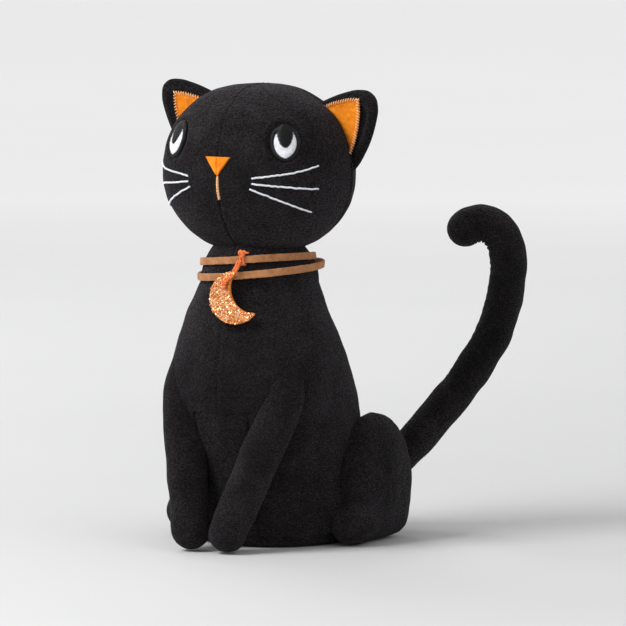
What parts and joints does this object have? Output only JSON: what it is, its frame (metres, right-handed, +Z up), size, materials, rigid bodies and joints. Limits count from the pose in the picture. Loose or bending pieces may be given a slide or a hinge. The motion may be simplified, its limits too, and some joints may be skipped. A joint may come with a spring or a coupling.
{
  "type": "plush cat",
  "caption": "Seated stuffed cat in short black pile with felt-lined ears, a bendable upright tail, a twice-wound strap collar and a hanging crescent charm.",
  "frame": {"origin": "on the resting plane, under the axis of the neck", "axes": "-Y is where the cat faces, +X is the cat's left, +Z is up"},
  "size_m": [0.1665, 0.1974, 0.2529],
  "materials": {
    "velour": "short black pile, soft sheen",
    "felt": "deep orange wool felt, matt",
    "stuffing": "white fibre filling, matt",
    "pouch": "plain woven lining cloth",
    "pellets": "small plastic pellets",
    "black_thread": "satin embroidery thread, soft shine",
    "white_thread": "satin embroidery thread, soft shine",
    "orange_thread": "cotton embroidery thread, soft shine",
    "suede": "tan suede strap with a short nap",
    "glitter": "orange gold glitter in clear binder",
    "wire": "soft bendable wire"
  },
  "bodies": {
    "root": {"base_panel": "velour", "belly_panel": "velour", "body_panel_left": "velour", "body_panel_right": "velour", "body_stuffing": "stuffing", "bean_pouch": "pouch", "bean_pellets": "pellets", "hind_leg_left_skin": "velour", "hind_leg_left_stuffing": "stuffing", "hind_leg_right_skin": "velour", "hind_leg_right_stuffing": "stuffing"},
    "front_leg_left": {"front_leg_left_skin": "velour", "front_leg_left_stuffing": "stuffing"},
    "front_leg_right": {"front_leg_right_skin": "velour", "front_leg_right_stuffing": "stuffing"},
    "neck": {"neck_stuffing": "stuffing"},
    "head": {"head_back": "velour", "head_face_left": "velour", "head_face_right": "velour", "head_stuffing": "stuffing", "eye_left_rim": "black_thread", "eye_left_white": "white_thread", "eye_left_pupil": "black_thread", "eye_right_rim": "black_thread", "eye_right_white": "white_thread", "eye_right_pupil": "black_thread", "nose_felt": "felt", "mouth_line": "orange_thread", "whiskers_left": "white_thread", "whiskers_right": "white_thread"},
    "ear_left": {"ear_left_front": "velour", "ear_left_back": "velour", "ear_left_lining": "felt"},
    "ear_right": {"ear_right_front": "velour", "ear_right_back": "velour", "ear_right_lining": "felt"},
    "tail_lower": {"tail_lower_skin": "velour", "tail_lower_stuffing": "stuffing", "tail_lower_wire": "wire"},
    "tail_middle": {"tail_middle_skin": "velour", "tail_middle_stuffing": "stuffing", "tail_middle_wire": "wire"},
    "tail_tip": {"tail_tip_skin": "velour", "tail_tip_stuffing": "stuffing", "tail_tip_wire": "wire"},
    "collar": {"collar_strap": "suede", "charm_tie": "orange_thread"},
    "charm": {"moon_felt": "felt", "moon_glitter": "glitter", "charm_thread": "orange_thread"}
  },
  "joints": [
    {"name": "neck_turn", "type": "hinge", "parent": "root", "child": "neck", "pos_m": [0, 0, 0.1425], "axis": [0, 0, 1], "range_deg": [-20, 20]},
    {"name": "head_nod", "type": "hinge", "parent": "neck", "child": "head", "pos_m": [0, 0, 0.1425], "axis": [-1, 0, 0], "range_deg": [-4, 5]},
    {"name": "ear_left_flex", "type": "hinge", "parent": "head", "child": "ear_left", "pos_m": [0.043, 0.01, 0.227], "axis": [0.4691, 0.1642, -0.8678], "range_deg": [-12, 12]},
    {"name": "ear_right_flex", "type": "hinge", "parent": "head", "child": "ear_right", "pos_m": [-0.043, 0.01, 0.227], "axis": [0.4691, -0.1642, 0.8678], "range_deg": [-12, 12]},
    {"name": "front_leg_left_lift", "type": "hinge", "parent": "root", "child": "front_leg_left", "pos_m": [0.032, -0.028, 0.08], "axis": [-0.8192, -0.5736, 0], "range_deg": [0, 25]},
    {"name": "front_leg_right_lift", "type": "hinge", "parent": "root", "child": "front_leg_right", "pos_m": [-0.032, -0.028, 0.08], "axis": [-0.8192, 0.5736, 0], "range_deg": [0, 25]},
    {"name": "tail_swing", "type": "hinge", "parent": "root", "child": "tail_lower", "pos_m": [0.006, 0.0754, 0.022], "axis": [0, 0, 1], "range_deg": [-12, 90]},
    {"name": "tail_middle_bend", "type": "hinge", "parent": "tail_lower", "child": "tail_middle", "pos_m": [0.0486, 0.101, 0.0573], "axis": [0.515, -0.8572, 0], "range_deg": [-22, 22]},
    {"name": "tail_tip_bend", "type": "hinge", "parent": "tail_middle", "child": "tail_tip", "pos_m": [0.08683, 0.12397, 0.136], "axis": [0.515, -0.8572, 0], "range_deg": [-22, 22]},
    {"name": "collar_turn", "type": "hinge", "parent": "root", "child": "collar", "pos_m": [0, 0, 0.153], "axis": [0, 0, 1], "range_deg": [-60, 60]},
    {"name": "charm_swing", "type": "hinge", "parent": "collar", "child": "charm", "pos_m": [0.00968, -0.03881, 0.156], "axis": [-0.9703, -0.2419, 0], "range_deg": [0, 60]}
  ]
}
